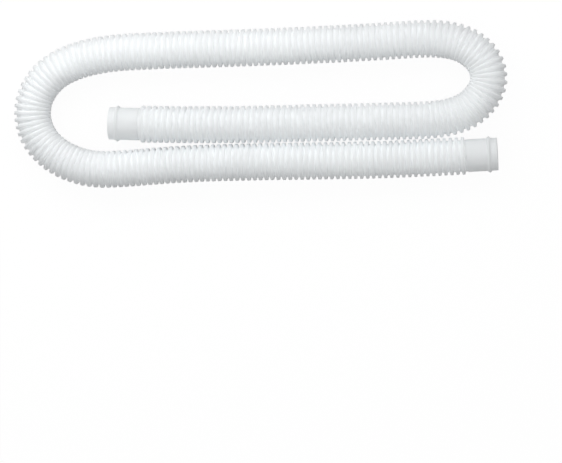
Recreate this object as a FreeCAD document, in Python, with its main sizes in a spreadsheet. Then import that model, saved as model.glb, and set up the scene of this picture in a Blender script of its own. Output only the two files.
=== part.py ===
"""Pool vacuum hose: a ribbed tube with a smooth push-on cuff bonded into each end, folded twice on the floor.

The frame has its origin at the bottom centre of the whole hose, +X along the folded runs, +Y across them
and +Z up. Sizes are in millimetres.
"""

import FreeCAD
import Part
import Sketcher
import math
import os

Vector = FreeCAD.Vector
UP = Vector(0, 0, 1)

SIZES = {
    "cuff_bore": 31.8,  # pushes over a 1 1/4 inch port
    "cuff_wall": 1.4,
    "cuff_length": 32.0,  # open end to the shoulder that the tube butts against
    "stop_thickness": 1.6,  # inner step that stops the port
    "mouth_chamfer": 0.4,  # lead-in at the open end
    "lip_round": 0.35,  # outer edge of the open end
    "bead_offset": 8.8,  # open end to the middle of the raised ring that holds a clamp band
    "bead_width": 4.2,
    "bead_height": 1.9,
    "spigot_length": 18.0,  # thin sleeve of the cuff inside the tube
    "spigot_wall": 0.8,
    "spigot_chamfer": 0.3,
    "bond_gap": 0.1,  # film of bond between spigot and tube
    "tube_bore": 31.0,
    "tube_wall": 1.2,  # at the bottom of a groove
    "rib_height": 3.1,
    "rib_count": 200.0,
    "crest_share": 0.36,  # of the pitch: the crest of a rib
    "flank_share": 0.14,  # of the pitch: each of its two flanks
    "neck_length": 1.2,  # plain end of the tube beyond its last rib
    "rest_flat": 0.5,  # how far the ribs are flattened where they lie on the floor
}

# The middle line of the hose seen from above, from the open end of the left cuff to that of the right cuff.
# Two long runs lie side by side, and the folds are as tight as the hose is stored.
ROUTE = [
    (-160.7, -20), (-68, -22.5), (110, -18), (168, -16.8), (199, -15),
    (227.5, -4.8), (246, 19.5), (242.5, 45), (221.5, 64), (190, 71),
    (122, 66.2), (8, 61), (-108, 58), (-168, 54.9), (-211.5, 42.8),
    (-235, 23.5), (-247, -4), (-240.5, -34.8), (-217.5, -57.5), (-183, -70),
    (-145, -68.8), (-85, -63.4), (-16, -61.1), (75, -59.7), (160, -57.7),
    (254.2, -51.9),
]
ARC_SHARE = 0.45  # of the shorter of two runs, taken up by the arc between them
MEASURE_STEP = 1.0  # between the points on which the gap between runs is measured
FLOOR_MARGIN = 50.0  # by which the block under the floor reaches past the hose


def make_sheet(doc):
    """The spreadsheet of driving sizes, one cell with an alias for each."""
    sheet = doc.addObject("Spreadsheet::Sheet", "sizes")
    for row, (name, value) in enumerate(SIZES.items(), start=1):
        sheet.set(f"A{row}", name)
        sheet.set(f"B{row}", str(value))
        sheet.setAlias(f"B{row}", name)
    doc.recompute()
    return sheet


def route_pieces(points):
    """The straight runs and tangent arcs along the points: (start, direction, length, radius, side)."""
    pieces = []
    here = points[0]
    for before, corner, after in zip(points, points[1:], points[2:]):
        arriving = corner - before
        leaving = after - corner
        cut = ARC_SHARE * min(arriving.Length, leaving.Length)
        arriving.normalize()
        leaving.normalize()
        turn = arriving.getAngle(leaving)
        radius = cut / math.tan(turn / 2)
        side = math.copysign(1, arriving.cross(leaving).z)
        arc_start = corner - arriving * cut
        pieces.append((here, arriving, (arc_start - here).Length, None, 0))
        pieces.append((arc_start, arriving, radius * turn, radius, side))
        here = corner + leaving * cut
    last = points[-1] - here
    pieces.append((here, last / last.Length, last.Length, None, 0))
    return pieces


def point_on(piece, distance):
    """Point and direction at a distance along one run or arc."""
    start, direction, length, radius, side = piece
    if radius is None:
        return start + direction * distance, direction
    angle = side * distance / radius
    turned = direction * math.cos(angle) + UP.cross(direction) * math.sin(angle)
    centre = start + UP.cross(direction) * side * radius
    return centre - UP.cross(turned) * side * radius, turned


class Route:
    """The middle line of the hose at one height above the floor."""

    def __init__(self, height):
        points = [Vector(x, y, height) for x, y in ROUTE]
        self.pieces = route_pieces(points)
        self.length = sum(piece[2] for piece in self.pieces)
        self.radii = [piece[3] for piece in self.pieces if piece[3] is not None]

    def at(self, distance):
        """Point and direction at a distance from the start."""
        for piece in self.pieces[:-1]:
            if distance <= piece[2]:
                return point_on(piece, distance)
            distance -= piece[2]
        return point_on(self.pieces[-1], distance)

    def wire(self, first, last):
        """The line between two distances, as one wire of straight and round edges."""
        edges = []
        passed = 0
        for piece in self.pieces:
            low = max(first - passed, 0)
            high = min(last - passed, piece[2])
            passed += piece[2]
            if high <= low:
                continue
            start = point_on(piece, low)[0]
            middle = point_on(piece, (low + high) / 2)[0]
            end = point_on(piece, high)[0]
            straight = piece[3] is None
            edges.append((Part.LineSegment(start, end) if straight else Part.Arc(start, middle, end)).toShape())
        return Part.Wire(edges)

    def least_spacing(self, apart):
        """The least distance between two points of the line that lie further apart than this along it."""
        count = int(self.length / MEASURE_STEP)
        line = [self.at(self.length * number / count)[0] for number in range(count + 1)]
        skip = int(apart / MEASURE_STEP)
        return min((a - b).Length for number, a in enumerate(line) for b in line[number + skip:])


def ring(route, distance, radius):
    """A circle square to the route, with its seam always at the top."""
    centre, direction = route.at(distance)
    circle = Part.Circle(centre, direction, radius)
    circle.XAxis = UP
    return Part.Wire(circle.toShape())


def ribbed_solid(sheet, route, first, last):
    """The outside of the tube: a ruled loft through four circles for each rib."""
    root = sheet.tube_bore / 2 + sheet.tube_wall
    crest = root + sheet.rib_height
    pitch = (last - first - 2 * sheet.neck_length) / round(sheet.rib_count)
    half_crest = sheet.crest_share * pitch / 2
    half_foot = half_crest + sheet.flank_share * pitch
    rings = [ring(route, first, root)]
    for number in range(round(sheet.rib_count)):
        middle = first + sheet.neck_length + (number + 0.5) * pitch
        rings.append(ring(route, middle - half_foot, root))
        rings.append(ring(route, middle - half_crest, crest))
        rings.append(ring(route, middle + half_crest, crest))
        rings.append(ring(route, middle + half_foot, root))
    rings.append(ring(route, last, root))
    print(f"{round(sheet.rib_count)} ribs at a pitch of {pitch:.2f} mm")
    return Part.makeLoft(rings, True, True)


def floor_block(outside):
    """A block under the floor that reaches past the hose, to flatten the ribs."""
    box = outside.BoundBox
    corner = Vector(box.XMin - FLOOR_MARGIN, box.YMin - FLOOR_MARGIN, box.ZMin - FLOOR_MARGIN)
    wide = box.XLength + 2 * FLOOR_MARGIN
    deep = box.YLength + 2 * FLOOR_MARGIN
    return Part.makeBox(wide, deep, -corner.z, corner)


def make_tube(doc, sheet, route):
    """The corrugated tube between the two cuffs, bored through and flattened where it rests."""
    first = sheet.cuff_length
    last = route.length - sheet.cuff_length
    outside = ribbed_solid(sheet, route, first, last)
    bore = route.wire(first, last).makePipeShell([ring(route, first, sheet.tube_bore / 2)], True, False)
    tube = doc.addObject("Part::Feature", "corrugated_tube")
    tube.Label = "corrugated_tube"
    tube.Shape = outside.cut(bore).cut(floor_block(outside))
    area = math.pi * (sheet.tube_bore / 2) ** 2
    print(f"bore volume over section times length: {bore.Volume / area / (last - first):.4f}")
    return tube


def draw_outline(sketch, corners):
    """Draws a closed outline whose corners are tied to the sizes.

    Each corner is (along, out, bend) as expressions. bend is the radius of the arc that arrives at the
    corner and bulges to the left of its travel, or None where a straight line arrives.
    """
    spots = [Vector(sketch.evalExpression(along), sketch.evalExpression(out), 0) for along, out, _ in corners]
    ends = []
    for number, (start, end) in enumerate(zip(spots[-1:] + spots[:-1], spots)):
        bend = corners[number][2]
        if bend is None:
            line = sketch.addGeometry(Part.LineSegment(start, end), False)
        else:
            radius = sketch.evalExpression(bend)
            chord = end - start
            rise = radius - math.sqrt(radius ** 2 - chord.Length ** 2 / 4)
            middle = (start + end) / 2 + UP.cross(chord) / chord.Length * rise
            line = sketch.addGeometry(Part.Arc(start, middle, end), False)
            tie(sketch, "Radius", [line], radius, bend)
        reversed_line = (sketch.getPoint(line, 1) - start).Length > (sketch.getPoint(line, 2) - start).Length
        ends.append((line, 2, 1) if reversed_line else (line, 1, 2))
    for before, after in zip(ends, ends[1:] + ends[:1]):
        sketch.addConstraint(Sketcher.Constraint("Coincident", before[0], before[2], after[0], after[1]))
    for (along, out, _), spot, (line, _, end) in zip(corners, spots, ends):
        if along == "0":
            sketch.addConstraint(Sketcher.Constraint("PointOnObject", line, end, -2))
        else:
            tie(sketch, "DistanceX", [-1, 1, line, end], spot.x, along)
        tie(sketch, "DistanceY", [-1, 1, line, end], spot.y, out)


def tie(sketch, kind, parts, value, expression):
    """A sketch dimension whose value follows an expression of the sizes."""
    index = sketch.addConstraint(Sketcher.Constraint(kind, *parts, value))
    sketch.setExpression(f"Constraints[{index}]", expression)


def revolve(body, name, corners):
    """Revolves an outline about the body's X axis, as a part of the body."""
    sketch = body.newObject("Sketcher::SketchObject", f"{name}_outline")
    plane = next(item for item in body.Origin.OriginFeatures if item.Role == "XY_Plane")
    sketch.AttachmentSupport = (plane, "")
    sketch.MapMode = "FlatFace"
    draw_outline(sketch, corners)
    turned = body.newObject("PartDesign::Revolution", name)
    turned.Profile = sketch
    turned.ReferenceAxis = (sketch, ["H_Axis"])
    turned.Angle = 360
    body.Tip = turned


def make_cuff(doc, name, mouth, inward):
    """One end cuff: a sleeve with a rounded lip and a raised ring, a stop, and a spigot bonded into the tube.

    mouth is the middle of its open end, and inward the direction from there into the hose.
    """
    bore = "sizes.cuff_bore / 2"
    outside = f"({bore} + sizes.cuff_wall)"
    seat = "(sizes.cuff_length - sizes.stop_thickness)"
    tip = "(sizes.cuff_length + sizes.spigot_length)"
    spigot = "(sizes.tube_bore / 2 - sizes.bond_gap)"
    throat = f"({spigot} - sizes.spigot_wall)"
    body = doc.addObject("PartDesign::Body", name)
    body.Label = name
    revolve(body, f"{name}_sleeve", [
        ("0", f"{outside} - sizes.lip_round", None),
        ("sizes.lip_round", outside, "sizes.lip_round"),
        ("sizes.cuff_length", outside, None),
        ("sizes.cuff_length", spigot, None),
        (f"{tip} - sizes.spigot_chamfer", spigot, None),
        (tip, f"{spigot} - sizes.spigot_chamfer", None),
        (tip, throat, None),
        (seat, throat, None),
        (seat, bore, None),
        ("sizes.mouth_chamfer", bore, None),
        ("0", f"{bore} + sizes.mouth_chamfer", None),
    ])
    half_bead = "sizes.bead_width / 2"
    inside = f"({outside} - sizes.cuff_wall / 2)"
    bulge = f"(({half_bead}) ^ 2 + sizes.bead_height ^ 2) / (2 * sizes.bead_height)"
    revolve(body, f"{name}_bead", [
        (f"sizes.bead_offset - {half_bead}", outside, None),
        (f"sizes.bead_offset + {half_bead}", outside, bulge),
        (f"sizes.bead_offset + {half_bead}", inside, None),
        (f"sizes.bead_offset - {half_bead}", inside, None),
    ])
    body.Placement = FreeCAD.Placement(mouth, FreeCAD.Rotation(inward, Vector(), UP, "XZY"))
    return body


def check(doc, pieces):
    """Stops if anything in the document failed or a piece isn't one valid solid."""
    for item in doc.Objects:
        if "Invalid" in item.State or "Error" in item.State:
            raise RuntimeError(f"{item.Name} failed: {item.State}")
    for piece in pieces:
        shape = piece.Shape
        if shape.isNull() or not shape.isValid() or len(shape.Solids) != 1:
            raise RuntimeError(f"{piece.Label} isn't one valid solid")


def main():
    doc = FreeCAD.newDocument("vacuum_hose")
    sheet = make_sheet(doc)
    crest = sheet.tube_bore / 2 + sheet.tube_wall + sheet.rib_height
    route = Route(crest - sheet.rest_flat)
    left_mouth, left_inward = route.at(0)
    right_mouth, right_outward = route.at(route.length)
    pieces = [
        make_tube(doc, sheet, route),
        make_cuff(doc, "left_end_cuff", left_mouth, left_inward),
        make_cuff(doc, "right_end_cuff", right_mouth, -right_outward),
    ]
    doc.recompute()
    check(doc, pieces)
    print(f"hose length {route.length:.1f} mm")
    print("fold radii in mm:", ", ".join(f"{radius:.0f}" for radius in route.radii))
    print(f"least gap between runs: {route.least_spacing(4 * crest) - 2 * crest:.2f} mm")
    os.makedirs("parts", exist_ok=True)
    for piece in pieces:
        print(f"{piece.Label}: volume {piece.Shape.Volume:.0f} mm3")
        piece.Shape.exportStep(f"parts/{piece.Label}.step")


main()
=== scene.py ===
"""Pool vacuum hose: a ribbed white plastic hose with a smooth cuff on each end, folded twice on a pale floor.

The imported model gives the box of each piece, and the pieces here are finer surfaces in the same places. Sizes
are in metres.
"""

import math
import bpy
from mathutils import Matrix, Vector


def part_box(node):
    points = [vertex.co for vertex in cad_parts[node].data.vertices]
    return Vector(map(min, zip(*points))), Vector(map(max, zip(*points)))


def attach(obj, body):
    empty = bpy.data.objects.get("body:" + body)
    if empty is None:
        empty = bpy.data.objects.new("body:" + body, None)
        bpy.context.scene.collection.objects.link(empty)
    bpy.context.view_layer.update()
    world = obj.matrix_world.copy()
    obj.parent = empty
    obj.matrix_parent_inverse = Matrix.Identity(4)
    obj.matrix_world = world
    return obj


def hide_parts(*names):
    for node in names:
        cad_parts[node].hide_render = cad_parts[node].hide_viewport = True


bl_info = {
    "name": "Pool Vacuum Hose",
    "version": (1, 0, 0),
    "blender": (4, 5, 0),
    "location": "View3D > Sidebar > Vacuum Hose",
    "description": "Builds a ribbed pool vacuum hose with its two end cuffs, and a pale floor under soft light",
    "category": "Add Mesh",
}

import bpy
import numpy as np
from mathutils import Matrix, Vector

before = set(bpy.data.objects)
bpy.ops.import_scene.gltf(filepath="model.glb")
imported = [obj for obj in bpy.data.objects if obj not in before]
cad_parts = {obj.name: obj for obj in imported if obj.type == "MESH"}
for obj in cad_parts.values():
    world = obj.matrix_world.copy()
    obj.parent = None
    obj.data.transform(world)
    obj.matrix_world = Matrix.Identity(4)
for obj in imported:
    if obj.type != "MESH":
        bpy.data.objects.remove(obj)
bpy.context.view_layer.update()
TUBE_LOW, TUBE_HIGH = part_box("corrugated_tube")
CUFF_LOW, CUFF_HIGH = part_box("left_end_cuff")

# The middle line seen from above, from the mouth of the left cuff to that of the right cuff, as in the part.
ROUTE = [
    (-0.1607, -0.0200), (-0.0680, -0.0225), (0.1100, -0.0180), (0.1680, -0.0168), (0.1990, -0.0150),
    (0.2275, -0.0048), (0.2460, 0.0195), (0.2425, 0.0450), (0.2215, 0.0640), (0.1900, 0.0710),
    (0.1220, 0.0662), (0.0080, 0.0610), (-0.1080, 0.0580), (-0.1680, 0.0549), (-0.2115, 0.0428),
    (-0.2350, 0.0235), (-0.2470, -0.0040), (-0.2405, -0.0348), (-0.2175, -0.0575), (-0.1830, -0.0700),
    (-0.1450, -0.0688), (-0.0850, -0.0634), (-0.0160, -0.0611), (0.0750, -0.0597), (0.1600, -0.0577),
    (0.2542, -0.0519),
]
SPLINE_ORDER = 3
SPLINE_STEPS = 32  # points of the middle line for each control point
LINE_STEPS = 3000  # even steps in which the middle line is kept
TILT_SPAN = 0.024  # length of hose over which its direction is averaged, because the ribs can't turn faster
REST_FLAT = 0.0005  # how far the ribs are flattened on the floor

# Places of a rib's rings of points, as shares of the pitch from the middle of its crest.
RING_SHARES = (-0.41, -0.34, -0.28, -0.22, -0.14, 0.14, 0.22, 0.28, 0.34, 0.41)
CREST_HOLD = 0.4  # how strictly a crest keeps its width where the pitch opens or closes, from 0 to 1
CREST_RANGE = (0.12, 0.47)  # least and most share of the pitch between a crest's middle and its edge
CLOSED_PITCH, OPEN_PITCH = 0.74, 0.94  # shares of the widest pitch at which a groove is shut and fully open
LEAST_DEPTH = 0.22  # share of a groove's depth that stays where the ribs touch
OPEN_ROUNDING = 2.0  # how fast a rib's outline goes from square to round where the pitch opens
# Painted light: off the ridges a rib takes the grooves' lighter colour, set against the shade that falls in
# them.
SHADE_SPREAD = 6  # how narrow the ridges' colour is on a rib
NECK_EDGE = 0.0003  # bevel of the tube's end

CUFF_BORE, CUFF_WALL = 0.0318, 0.0014
CORNER_STEPS = 5  # points on each rounded corner of a cuff
BEAD_STEPS = 25  # points across a cuff's raised ring
BEAD_POWER = 0.8  # how full the raised ring is, from pointed at 2 to square near 0

TUBE_GLOW, CUFF_GLOW = 0.7, 0.2  # shares of the light that goes into the plastic
GLOSS = 0.25  # strength of the plastic's reflections
CLOUD_SCALE, CLOUD_DETAIL = 14, 4
CLOUD_LEVELS, CLOUD_TINTS = (0.3, 0.7), (0.965, 1.02)  # the noise's usual levels, and the brightness they give
SMEAR_SCALE, SMEAR_DETAIL = 60, 3
SMEAR_SPREAD = 0.08  # how far the roughness strays
GRAIN_SCALE, GRAIN_DETAIL = 1400, 2
GRAIN_STRENGTH, GRAIN_DEPTH = 0.15, 0.00005

CAMERA_PLACE = Vector((0.3018, 0.0020, 2.6250))
CAMERA_AIM = Vector((0.0241, -0.1352, 0.0193))
FLOOR_REACH = 8.0
FLOOR_DROP = 0.0002  # the floor lies this far under the flattened ribs
LAMP_LENGTH, LAMP_WIDTH = 0.9, 0.35  # of each of the two lamps, which hang end to end along the runs
LAMP_BACK, LAMP_HEIGHT = 0.42, 0.48
SKY_SEEN = 0.985  # how white the camera sees the world
BOUNCES = 12  # of the light between the ribs


class TubeSizes(bpy.types.PropertyGroup):
    """Sizes of the corrugated tube."""

    crest: bpy.props.FloatProperty(
        name="Crest diameter",
        description="Diameter over the ribs",
        default=TUBE_HIGH.z - TUBE_LOW.z + REST_FLAT,
        unit="LENGTH",
    )
    rib_height: bpy.props.FloatProperty(
        name="Rib height", description="From the bottom of a groove to a crest", default=0.0031, unit="LENGTH"
    )
    bore: bpy.props.FloatProperty(
        name="Bore", description="Diameter of the smooth water way", default=0.031, unit="LENGTH"
    )
    ribs: bpy.props.IntProperty(name="Ribs", description="Number of ribs along the tube", default=230)
    crest_share: bpy.props.FloatProperty(
        name="Crest width",
        description="Width of a rib at half its height, as a share of the pitch on a straight run",
        default=0.56,
        subtype="FACTOR",
    )
    squareness: bpy.props.FloatProperty(
        name="Squareness", description="How square a rib's outline is, from a wave at 0", default=4.5
    )
    squeeze: bpy.props.FloatProperty(
        name="Squeeze",
        description="How much the ribs close up along the middle line where it bends",
        default=0.2,
        subtype="FACTOR",
    )
    neck: bpy.props.FloatProperty(
        name="Neck", description="Plain end of the tube beyond its last rib", default=0.0012, unit="LENGTH"
    )
    sides: bpy.props.IntProperty(name="Sides", description="Points round the tube", default=38)


class CuffSizes(bpy.types.PropertyGroup):
    """Sizes of the two end cuffs."""

    bore: bpy.props.FloatProperty(
        name="Bore", description="Inside diameter at the mouth", default=CUFF_BORE, unit="LENGTH"
    )
    wall: bpy.props.FloatProperty(
        name="Wall", description="Thickness of the cuff", default=CUFF_WALL, unit="LENGTH"
    )
    length: bpy.props.FloatProperty(
        name="Length", description="From the mouth to the shoulder at the tube", default=0.032, unit="LENGTH"
    )
    bead_offset: bpy.props.FloatProperty(
        name="Ring place",
        description="From the mouth to the middle of the raised ring",
        default=0.0088,
        unit="LENGTH",
    )
    bead_height: bpy.props.FloatProperty(
        name="Ring height",
        description="How far the raised ring stands out",
        default=(CUFF_HIGH.z - CUFF_LOW.z) / 2 - CUFF_BORE / 2 - CUFF_WALL,
        unit="LENGTH",
    )
    bead_reach: bpy.props.FloatProperty(
        name="Ring reach",
        description="From the middle of the raised ring to its foot",
        default=0.0028,
        unit="LENGTH",
    )
    stop: bpy.props.FloatProperty(
        name="Stop", description="Thickness of the inner step that stops a port", default=0.0016, unit="LENGTH"
    )
    spigot_length: bpy.props.FloatProperty(
        name="Spigot length", description="Length of the sleeve inside the tube", default=0.018, unit="LENGTH"
    )
    spigot_wall: bpy.props.FloatProperty(
        name="Spigot wall", description="Thickness of the sleeve inside the tube", default=0.0008, unit="LENGTH"
    )
    spigot_gap: bpy.props.FloatProperty(
        name="Bond", description="Film of bond between the spigot and the tube", default=0.0001, unit="LENGTH"
    )
    softness: bpy.props.FloatProperty(
        name="Corner radius", description="Radius of the moulded corners", default=0.0004, unit="LENGTH"
    )
    sides: bpy.props.IntProperty(name="Sides", description="Points round the cuff", default=96)


class PlasticFinish(bpy.types.PropertyGroup):
    """Look of the white plastic."""

    hose_colour: bpy.props.FloatVectorProperty(
        name="Hose",
        description="Colour of the ribs",
        default=(0.905, 0.925, 0.937),
        subtype="COLOR",
        size=3,
    )
    # Painted light: the grooves get a lighter colour than the ribs, set against the shade that falls in them.
    groove_painted_light_colour: bpy.props.FloatVectorProperty(
        name="Grooves",
        description="Colour in the grooves",
        default=(0.963, 0.981, 0.99),
        subtype="COLOR",
        size=3,
    )
    cuff_colour: bpy.props.FloatVectorProperty(
        name="Cuffs",
        description="Colour of the cuffs",
        default=(0.92, 0.943, 0.952),
        subtype="COLOR",
        size=3,
    )
    roughness: bpy.props.FloatProperty(
        name="Roughness", description="Roughness of the plastic", default=0.5, subtype="FACTOR"
    )
    glow_depth: bpy.props.FloatProperty(
        name="Glow depth", description="How deep light goes into the plastic", default=0.004, unit="LENGTH"
    )


class StageSetup(bpy.types.PropertyGroup):
    """Floor, light and camera."""

    floor_colour: bpy.props.FloatVectorProperty(
        name="Floor",
        description="Colour of the floor",
        default=(0.3, 0.3, 0.3),
        subtype="COLOR",
        size=3,
    )
    floor_white: bpy.props.FloatProperty(
        name="Floor white",
        description="How white the camera sees the floor without any light on it",
        default=0.955,
    )
    floor_trace: bpy.props.FloatProperty(
        name="Floor trace",
        description="How much of the light and shadow on the floor the camera sees",
        default=0.06,
    )
    left_power: bpy.props.FloatProperty(
        name="Left lamp", description="Power of the lamp over the left half", default=2.0, unit="POWER"
    )
    right_power: bpy.props.FloatProperty(
        name="Right lamp", description="Power of the lamp over the right half", default=0.75, unit="POWER"
    )
    sky: bpy.props.FloatProperty(
        name="Sky", description="Strength of the even light all round", default=0.56
    )
    lens: bpy.props.FloatProperty(
        name="Lens", description="Focal length of the camera, in millimetres on a 36 mm frame", default=157.4
    )


def spline_points(height):
    """Points along the NURBS spline whose control points are the route's, and which starts and ends on them."""
    curve = bpy.data.curves.new("hose_route", "CURVE")
    curve.dimensions = "3D"
    curve.resolution_u = SPLINE_STEPS
    spline = curve.splines.new("NURBS")
    spline.points.add(len(ROUTE) - 1)
    for point, (x, y) in zip(spline.points, ROUTE):
        point.co = (x, y, height, 1)
    spline.order_u = SPLINE_ORDER
    spline.use_endpoint_u = True
    holder = bpy.data.objects.new("hose_route", curve)
    mesh = bpy.data.meshes.new_from_object(holder)
    line = np.empty(3 * len(mesh.vertices))
    mesh.vertices.foreach_get("co", line)
    bpy.data.objects.remove(holder)
    bpy.data.curves.remove(curve)
    bpy.data.meshes.remove(mesh)
    return line.reshape(-1, 3)


class MiddleLine:
    """The hose's middle line: place, heading and curvature at each distance from the left mouth.

    The heading is the angle of the line from +X, averaged over TILT_SPAN, and the curvature is its slope,
    which is positive where the line turns left.
    """

    def __init__(self, height):
        points = spline_points(height)
        passed = np.concatenate(([0.0], np.cumsum(np.linalg.norm(np.diff(points, axis=0), axis=1))))
        self.length = passed[-1]
        self.run = np.linspace(0.0, self.length, LINE_STEPS)
        self.places = np.stack([np.interp(self.run, passed, column) for column in points.T], axis=1)
        slope = np.gradient(self.places, self.run, axis=0)
        heading = np.unwrap(np.arctan2(slope[:, 1], slope[:, 0]))
        reach = round(TILT_SPAN / 2 / self.length * LINE_STEPS)
        weights = np.hanning(2 * reach + 3)[1:-1]
        self.heading = np.convolve(np.pad(heading, reach, "edge"), weights / weights.sum(), "valid")
        self.curvature = np.gradient(self.heading, self.run)

    def point(self, distance):
        """Places on the line."""
        return np.stack([np.interp(distance, self.run, column) for column in self.places.T], axis=-1)

    def left(self, distance):
        """Level directions to the left of the line."""
        heading = np.interp(distance, self.run, self.heading)
        return np.stack([-np.sin(heading), np.cos(heading), np.zeros_like(heading)], axis=-1)


def around(line, distance, radius, angle):
    """Points round the line, none of them under the floor.

    Each is the line's place + radius x (sin(angle) x left + cos(angle) x up).
    """
    distance, radius, angle = np.broadcast_arrays(distance, radius, angle)
    points = line.point(distance) + (radius * np.sin(angle))[..., None] * line.left(distance)
    points[..., 2] = np.maximum(points[..., 2] + radius * np.cos(angle), 0.0)
    return points


def ring_quads(rows, sides):
    """Quads of a surface of rows x sides points that closes on itself both ways, as a ring does."""
    row, side = np.meshgrid(np.arange(rows), np.arange(sides), indexing="ij")
    next_row, next_side = (row + 1) % rows, (side + 1) % sides
    corners = (
        row * sides + side, row * sides + next_side, next_row * sides + next_side, next_row * sides + side
    )
    return np.stack(corners, axis=-1).reshape(-1, 4)


def make_piece(name, points, quads, shade, material):
    """A smooth mesh object whose points carry the attribute shade, with its faces turned outwards."""
    first, second, third, fourth = (points[quads[:, corner]] for corner in range(4))
    volume = np.einsum("ij,ij->", first, np.cross(second, third) + np.cross(third, fourth)) / 6
    if volume < 0:
        quads = quads[:, ::-1]
    mesh = bpy.data.meshes.new(name)
    mesh.from_pydata(points.tolist(), [], quads.tolist())
    mesh.attributes.new("shade", "FLOAT", "POINT").data.foreach_set("value", shade.astype(np.float32))
    mesh.shade_smooth()
    mesh.materials.append(material)
    piece = bpy.data.objects.new(name, mesh)
    bpy.context.scene.collection.objects.link(piece)
    return piece


def rib_outline(share, squareness, crest_share):
    """Height of a rib's outline from 0 in the groove to 1 on the crest, at a share of the pitch from the crest.

    It is tanh(squareness x (cos(2 pi share) - middle)), moved and scaled to lie between 0 and 1, where middle
    is the cosine at the edge of the crest.
    """
    middle = math.cos(math.pi * crest_share)
    low = np.tanh(squareness * (-1 - middle))
    high = np.tanh(squareness * (1 - middle))
    return (np.tanh(squareness * (np.cos(2 * np.pi * share) - middle)) - low) / (high - low)


def rib_phase(line, sizes, first, last):
    """Number of ribs passed at each step of the line between first and last.

    Its slope goes with 1 / (1 - squeeze x curvature x radius), so the ribs are closer together in the bends.
    """
    inside = (line.run > first) & (line.run < last)
    run = np.concatenate(([first], line.run[inside], [last]))
    bend = np.interp(run, line.run, np.abs(line.curvature)) * sizes.crest / 2
    density = 1 / (1 - sizes.squeeze * bend)
    passed = np.concatenate(([0.0], np.cumsum((density[1:] + density[:-1]) / 2 * np.diff(run))))
    return run, passed / passed[-1] * sizes.ribs


def crest_places(share, opened, half):
    """Places of a rib's rings in a pitch that is opened or closed, as shares of it from the crest's middle.

    The crest's edge moves from half to half / opened ^ CREST_HOLD, within CREST_RANGE, and the rings on the
    crest and in the groove move in proportion.
    """
    edge = np.clip(half / opened**CREST_HOLD, *CREST_RANGE)
    size = np.abs(share)
    on_crest = size / half * edge
    in_groove = edge + (size - half) / (0.5 - half) * (0.5 - edge)
    return np.sign(share) * np.where(size < half, on_crest, in_groove)


def ribbed_wall(line, sizes, first, last, angle):
    """Rings of points over the ribs between first and last, and the level of their colour, 1 on the ridges.

    Each rib has a ring at each of RING_SHARES, close together on its two flanks, so that its crest and the
    groove beside it are shaded flat. Whole phases are the grooves. At each point the pitch is opened by the
    stretch 1 - curvature x distance to the left, and where that makes it narrow, on the inner side of a bend,
    the groove gets shallow: its depth goes in proportion from 1 at OPEN_PITCH to LEAST_DEPTH near CLOSED_PITCH.
    Where the pitch is wide, the squareness is divided by opened ^ OPEN_ROUNDING. The radius is the root's +
    rib height x (1 - depth x (1 - outline)), and the colour's level is the same with outline ^ SHADE_SPREAD.
    This
    level is painted light: below 1 it gives the grooves a lighter colour against the shade that falls in them.
    """
    run, passed = rib_phase(line, sizes, first, last)
    inside = np.arange(sizes.ribs)[:, None] + 0.5 + np.array(RING_SHARES)
    phase = np.concatenate(([0.0], inside.ravel(), [sizes.ribs]))
    share = np.concatenate(([-0.5], np.tile(RING_SHARES, sizes.ribs), [0.5]))[:, None]
    distance = np.interp(phase, passed, run)
    pitch = np.gradient(distance, phase)
    curvature = np.interp(distance, line.run, line.curvature)
    root = sizes.crest / 2 - sizes.rib_height
    stretch = 1 - curvature[:, None] * (sizes.crest / 2 + root) / 2 * np.sin(angle)
    opened = pitch[:, None] * stretch / pitch.max()
    depth = np.clip((opened - CLOSED_PITCH) / (OPEN_PITCH - CLOSED_PITCH), LEAST_DEPTH, 1)
    squareness = sizes.squareness / np.maximum(opened, 1) ** OPEN_ROUNDING
    outline = rib_outline(share, squareness, sizes.crest_share)
    radius = root + sizes.rib_height * (1 - depth * (1 - outline))
    places = np.floor(phase)[:, None] + 0.5 + crest_places(share, opened, sizes.crest_share / 2)
    points = around(line, np.interp(places, passed, run), radius, angle)
    # The colour's level is painted light: the grooves get lighter, except where the ribs close up.
    return points, 1 - depth * (1 - outline**SHADE_SPREAD)


def tube_surface(line, sizes, first, last):
    """The tube's points, quads and shade.

    Its rings run over the bevelled end, the ribbed wall and the other end, and back through the plain bore.
    """
    angle = np.linspace(0, 2 * np.pi, sizes.sides, endpoint=False)
    root = sizes.crest / 2 - sizes.rib_height
    edge = np.array([[0.0, root - NECK_EDGE], [NECK_EDGE, root]])
    start = around(line, first + edge[:, :1], edge[:, 1:], angle)
    wall, ridge = ribbed_wall(line, sizes, first + sizes.neck, last - sizes.neck, angle)
    end = around(line, last - edge[::-1, :1], edge[::-1, 1:], angle)
    bore = around(line, np.linspace(last, first, sizes.ribs + 1)[:, None], sizes.bore / 2, angle)
    rows = np.concatenate((start, wall, end, bore))
    shade = np.zeros(rows.shape[:2])
    shade[len(start):len(start) + len(wall)] = ridge
    return rows.reshape(-1, 3), ring_quads(*shade.shape), shade.ravel()


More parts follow.
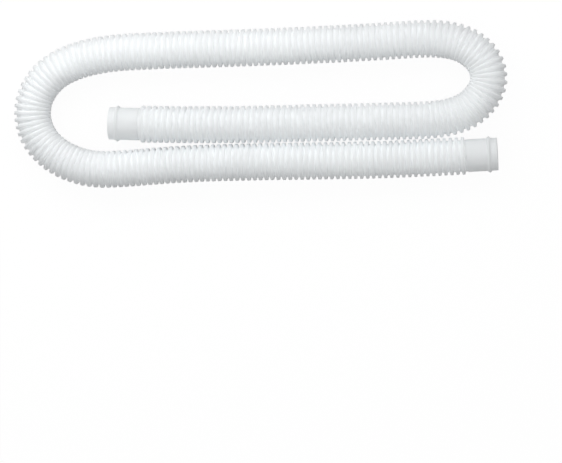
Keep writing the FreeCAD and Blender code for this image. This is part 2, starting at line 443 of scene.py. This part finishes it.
def rounded(corners, radius, steps):
    """An outline with each corner (along, out) replaced by an arc of points and one held point on each side.

    The arc is the quadratic curve (1 - t)^2 a + 2 t (1 - t) corner + t^2 b, with a and b at radius from the
    corner, and the two held points lie at twice the radius, so that the shading stays flat between corners. On
    a short side a and b stay within 0.4 of it, and the held points within half of it.
    """
    corners = np.asarray(corners, dtype=float)
    before = np.roll(corners, 1, axis=0) - corners
    after = np.roll(corners, -1, axis=0) - corners
    reach_before = np.linalg.norm(before, axis=1, keepdims=True)
    reach_after = np.linalg.norm(after, axis=1, keepdims=True)
    before = before / reach_before
    after = after / reach_after
    near = np.minimum(radius, np.minimum(reach_before, reach_after) * 0.4)
    t = np.linspace(0, 1, steps)[None, :, None]
    start = (corners + before * near)[:, None]
    end = (corners + after * near)[:, None]
    arc = (1 - t) ** 2 * start + 2 * t * (1 - t) * corners[:, None] + t**2 * end
    hold_before = (corners + before * np.minimum(2 * near, reach_before / 2))[:, None]
    hold_after = (corners + after * np.minimum(2 * near, reach_after / 2))[:, None]
    return np.concatenate((hold_before, arc, hold_after), axis=1).reshape(-1, 2)


def bead_outline(sizes, outside):
    """The raised ring: height x ((1 + cos(pi x / reach)) / 2) ^ BEAD_POWER above the cuff, x from its middle."""
    x = np.linspace(-sizes.bead_reach, sizes.bead_reach, BEAD_STEPS)
    height = sizes.bead_height * ((1 + np.cos(np.pi * x / sizes.bead_reach)) / 2) ** BEAD_POWER
    return np.stack((sizes.bead_offset + x, outside + height), axis=1)


def cuff_surface(mouth, inward, sizes, tube_bore):
    """A cuff turned about its axis: mouth + along x inward + out x (sin(angle) x left + cos(angle) x up)."""
    bore = sizes.bore / 2
    outside = bore + sizes.wall
    spigot = tube_bore / 2 - sizes.spigot_gap
    throat = spigot - sizes.spigot_wall
    seat = sizes.length - sizes.stop
    tip = sizes.length + sizes.spigot_length
    corners = [
        (0, outside), (sizes.length, outside), (sizes.length, spigot), (tip, spigot),
        (tip, throat), (seat, throat), (seat, bore), (0, bore),
    ]
    outline = rounded(corners, sizes.softness, CORNER_STEPS)
    lip_end = CORNER_STEPS + 2
    outline = np.concatenate((outline[:lip_end], bead_outline(sizes, outside), outline[lip_end:]))
    angle = np.linspace(0, 2 * np.pi, sizes.sides, endpoint=False)
    left = np.cross((0, 0, 1), inward)
    along, out = outline[:, :1, None], outline[:, 1:, None]
    turn = np.sin(angle)[:, None] * left + np.cos(angle)[:, None] * np.array((0, 0, 1))
    points = (mouth + along * inward + out * turn[None]).reshape(-1, 3)
    return points, ring_quads(len(outline), sizes.sides)


def noise_level(nodes, links, scale, detail):
    """Level of a noise pattern that stays in place on the hose."""
    place = nodes.new("ShaderNodeTexCoord")
    noise = nodes.new("ShaderNodeTexNoise")
    noise.inputs["Scale"].default_value = scale
    noise.inputs["Detail"].default_value = detail
    links.new(place.outputs["Object"], noise.inputs["Vector"])
    return noise.outputs["Fac"]


def ranged(nodes, links, level, low, high, levels=(0, 1)):
    """The level moved and scaled, so that the two levels become low and high."""
    stretch = nodes.new("ShaderNodeMapRange")
    stretch.inputs["From Min"].default_value, stretch.inputs["From Max"].default_value = levels
    stretch.inputs["To Min"].default_value = low
    stretch.inputs["To Max"].default_value = high
    links.new(level, stretch.inputs["Value"])
    return stretch.outputs["Result"]


def plastic(name, ridge_colour, groove_painted_light_colour, glow, finish):
    """Moulded plastic: painted light that makes the grooves lighter by the attribute shade, cloudy colour,
    uneven gloss and a fine grain.
    """
    material = bpy.data.materials.new(name)
    material.use_nodes = True
    nodes, links = material.node_tree.nodes, material.node_tree.links
    shader = nodes["Principled BSDF"]

    # Painted light: the grooves are given a lighter colour than the ridges, set against the shade that falls in
    # them.
    shade = nodes.new("ShaderNodeAttribute")
    shade.attribute_name = "shade"
    painted_groove_light = nodes.new("ShaderNodeMix")
    painted_groove_light.data_type = "RGBA"
    painted_groove_light.inputs["A"].default_value = (*groove_painted_light_colour, 1)
    painted_groove_light.inputs["B"].default_value = (*ridge_colour, 1)
    links.new(shade.outputs["Fac"], painted_groove_light.inputs["Factor"])
    cloud = noise_level(nodes, links, CLOUD_SCALE, CLOUD_DETAIL)
    brighten = nodes.new("ShaderNodeVectorMath")
    brighten.operation = "SCALE"
    links.new(painted_groove_light.outputs["Result"], brighten.inputs[0])
    links.new(ranged(nodes, links, cloud, *CLOUD_TINTS, CLOUD_LEVELS), brighten.inputs["Scale"])
    links.new(brighten.outputs["Vector"], shader.inputs["Base Color"])

    smear = noise_level(nodes, links, SMEAR_SCALE, SMEAR_DETAIL)
    roughness = ranged(nodes, links, smear, finish.roughness - SMEAR_SPREAD, finish.roughness + SMEAR_SPREAD)
    links.new(roughness, shader.inputs["Roughness"])

    grain = nodes.new("ShaderNodeBump")
    grain.inputs["Strength"].default_value = GRAIN_STRENGTH
    grain.inputs["Distance"].default_value = GRAIN_DEPTH
    links.new(noise_level(nodes, links, GRAIN_SCALE, GRAIN_DETAIL), grain.inputs["Height"])
    links.new(grain.outputs["Normal"], shader.inputs["Normal"])

    shader.inputs["Specular IOR Level"].default_value = GLOSS
    shader.subsurface_method = "BURLEY"
    shader.inputs["Subsurface Weight"].default_value = glow
    shader.inputs["Subsurface Radius"].default_value = (1.0, 1.0, 1.0)
    shader.inputs["Subsurface Scale"].default_value = finish.glow_depth
    return material


class MESH_OT_end_cuffs(bpy.types.Operator):
    """Build the two smooth cuffs with their raised rings"""

    bl_idname = "mesh.vacuum_hose_cuffs"
    bl_label = "End cuffs"

    def execute(self, context):
        scene = context.scene
        sizes, finish = scene.hose_cuffs, scene.hose_finish
        height = scene.hose_tube.crest / 2 - REST_FLAT
        material = plastic("cuff_plastic", finish.cuff_colour, finish.cuff_colour, CUFF_GLOW, finish)
        for name, node, end, neighbour in (
            ("left_cuff", "left_end_cuff", ROUTE[0], ROUTE[1]),
            ("right_cuff", "right_end_cuff", ROUTE[-1], ROUTE[-2]),
        ):
            mouth = np.array((*end, height))
            inward = np.array((*neighbour, height)) - mouth
            inward /= np.linalg.norm(inward)
            points, quads = cuff_surface(mouth, inward, sizes, scene.hose_tube.bore)
            cuff = make_piece(name, points, quads, np.ones(len(points)), material)
            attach(cuff, "root")
            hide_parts(node)
        return {"FINISHED"}


class MESH_OT_corrugated_tube(bpy.types.Operator):
    """Build the ribbed tube along the folded route, between the two cuffs"""

    bl_idname = "mesh.vacuum_hose_tube"
    bl_label = "Corrugated tube"

    def execute(self, context):
        scene = context.scene
        sizes, finish = scene.hose_tube, scene.hose_finish
        line = MiddleLine(sizes.crest / 2 - REST_FLAT)
        first = scene.hose_cuffs.length
        last = line.length - scene.hose_cuffs.length
        points, quads, shade = tube_surface(line, sizes, first, last)
        material = plastic("hose_plastic", finish.hose_colour, finish.groove_painted_light_colour, TUBE_GLOW, finish)
        tube = make_piece("ribbed_tube", points, quads, shade, material)
        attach(tube, "root")
        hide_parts("corrugated_tube")
        return {"FINISHED"}


def add_lamp(name, place, aim, size, power):
    """An area lamp of size (length, width) that shines from place to aim."""
    light = bpy.data.lights.new(name, "AREA")
    light.shape = "RECTANGLE"
    light.size, light.size_y = size
    light.energy = power
    holder = bpy.data.objects.new(name, light)
    holder.location = place
    holder.rotation_mode = "QUATERNION"
    holder.rotation_quaternion = (Vector(aim) - Vector(place)).to_track_quat("-Z", "Y")
    bpy.context.scene.collection.objects.link(holder)


def seen_ray(nodes, links):
    """A level that is 1 for the camera's rays and those that a gloss or a clear piece sends on, and else 0."""
    path = nodes.new("ShaderNodeLightPath")
    level = path.outputs["Is Camera Ray"]
    for name in ("Is Glossy Ray", "Is Transmission Ray"):
        either = nodes.new("ShaderNodeMath")
        either.operation = "MAXIMUM"
        links.new(level, either.inputs[0])
        links.new(path.outputs[name], either.inputs[1])
        level = either.outputs["Value"]
    return level


def floor_material(colour, white, trace):
    """A pale matt floor. The camera sees it as even white, with only a trace of the light and shadow on it."""
    material = bpy.data.materials.new("pale_floor")
    material.use_nodes = True
    nodes, links = material.node_tree.nodes, material.node_tree.links
    nodes.clear()
    output = nodes.new("ShaderNodeOutputMaterial")
    matt = nodes.new("ShaderNodeBsdfDiffuse")
    matt.inputs["Color"].default_value = (*colour, 1)
    faint = nodes.new("ShaderNodeBsdfDiffuse")
    faint.inputs["Color"].default_value = (trace, trace, trace, 1)
    glow = nodes.new("ShaderNodeEmission")
    glow.inputs["Strength"].default_value = white
    seen = nodes.new("ShaderNodeAddShader")
    links.new(faint.outputs["BSDF"], seen.inputs[0])
    links.new(glow.outputs["Emission"], seen.inputs[1])
    choose = nodes.new("ShaderNodeMixShader")
    links.new(seen_ray(nodes, links), choose.inputs["Fac"])
    links.new(matt.outputs["BSDF"], choose.inputs[1])
    links.new(seen.outputs["Shader"], choose.inputs[2])
    links.new(choose.outputs["Shader"], output.inputs["Surface"])
    return material


def white_world(strength):
    """Even light all round, which the camera sees as white."""
    world = bpy.data.worlds.new("studio")
    bpy.context.scene.world = world
    world.use_nodes = True
    nodes, links = world.node_tree.nodes, world.node_tree.links
    choose = nodes.new("ShaderNodeMix")
    choose.inputs["A"].default_value = strength
    choose.inputs["B"].default_value = SKY_SEEN
    links.new(seen_ray(nodes, links), choose.inputs["Factor"])
    background = nodes["Background"]
    background.inputs["Color"].default_value = (1, 1, 1, 1)
    links.new(choose.outputs["Result"], background.inputs["Strength"])


class SCENE_OT_hose_stage(bpy.types.Operator):
    """Lay the pale floor, hang the lamps and set up the camera"""

    bl_idname = "scene.vacuum_hose_stage"
    bl_label = "Floor, light and camera"

    def execute(self, context):
        scene = context.scene
        setup = scene.hose_stage
        mesh = bpy.data.meshes.new("floor")
        reach = FLOOR_REACH
        corners = [(-reach, -reach), (reach, -reach), (reach, reach), (-reach, reach)]
        mesh.from_pydata([(x, y, -FLOOR_DROP) for x, y in corners], [], [(0, 1, 2, 3)])
        mesh.materials.append(floor_material(setup.floor_colour, setup.floor_white, setup.floor_trace))
        floor = bpy.data.objects.new("floor", mesh)
        scene.collection.objects.link(floor)

        for name, side, power in (("left_lamp", -1, setup.left_power), ("right_lamp", 1, setup.right_power)):
            middle = side * LAMP_LENGTH / 2
            place, aim = (middle, LAMP_BACK, LAMP_HEIGHT), (middle, 0, 0)
            add_lamp(name, place, aim, (LAMP_LENGTH, LAMP_WIDTH), power)
        white_world(setup.sky)

        lens = bpy.data.cameras.new("camera")
        lens.lens = setup.lens
        camera = bpy.data.objects.new("camera", lens)
        back = (CAMERA_PLACE - CAMERA_AIM).normalized()
        right = Vector((0, 1, 0)).cross(back).normalized()
        turn = Matrix((right, back.cross(right), back)).transposed().to_4x4()
        camera.matrix_world = Matrix.Translation(CAMERA_PLACE) @ turn
        scene.collection.objects.link(camera)
        scene.camera = camera
        scene.view_settings.view_transform = "Standard"
        scene.cycles.diffuse_bounces = BOUNCES
        return {"FINISHED"}


class VIEW3D_PT_vacuum_hose(bpy.types.Panel):
    """Sidebar panel of the hose's sizes and steps."""

    bl_label = "Vacuum hose"
    bl_space_type = "VIEW_3D"
    bl_region_type = "UI"
    bl_category = "Vacuum Hose"

    def draw(self, context):
        scene = context.scene
        for group, operator in (
            (scene.hose_cuffs, MESH_OT_end_cuffs),
            (scene.hose_tube, MESH_OT_corrugated_tube),
            (scene.hose_finish, None),
            (scene.hose_stage, SCENE_OT_hose_stage),
        ):
            box = self.layout.box()
            for name in group.__annotations__:
                box.prop(group, name)
            if operator:
                box.operator(operator.bl_idname)


GROUPS = {
    "hose_tube": TubeSizes,
    "hose_cuffs": CuffSizes,
    "hose_finish": PlasticFinish,
    "hose_stage": StageSetup,
}
CLASSES = (
    *GROUPS.values(), MESH_OT_end_cuffs, MESH_OT_corrugated_tube, SCENE_OT_hose_stage, VIEW3D_PT_vacuum_hose,
)


def register():
    """Add the classes, and the groups of settings to the scene."""
    for item in CLASSES:
        bpy.utils.register_class(item)
    for name, group in GROUPS.items():
        setattr(bpy.types.Scene, name, bpy.props.PointerProperty(type=group))


def unregister():
    """Take them away again."""
    for name in GROUPS:
        delattr(bpy.types.Scene, name)
    for item in reversed(CLASSES):
        bpy.utils.unregister_class(item)


def main():
    """Build the pieces and the stage."""
    register()
    bpy.ops.mesh.vacuum_hose_cuffs()
    bpy.ops.mesh.vacuum_hose_tube()
    bpy.ops.scene.vacuum_hose_stage()


if __name__ == "__main__":
    main()
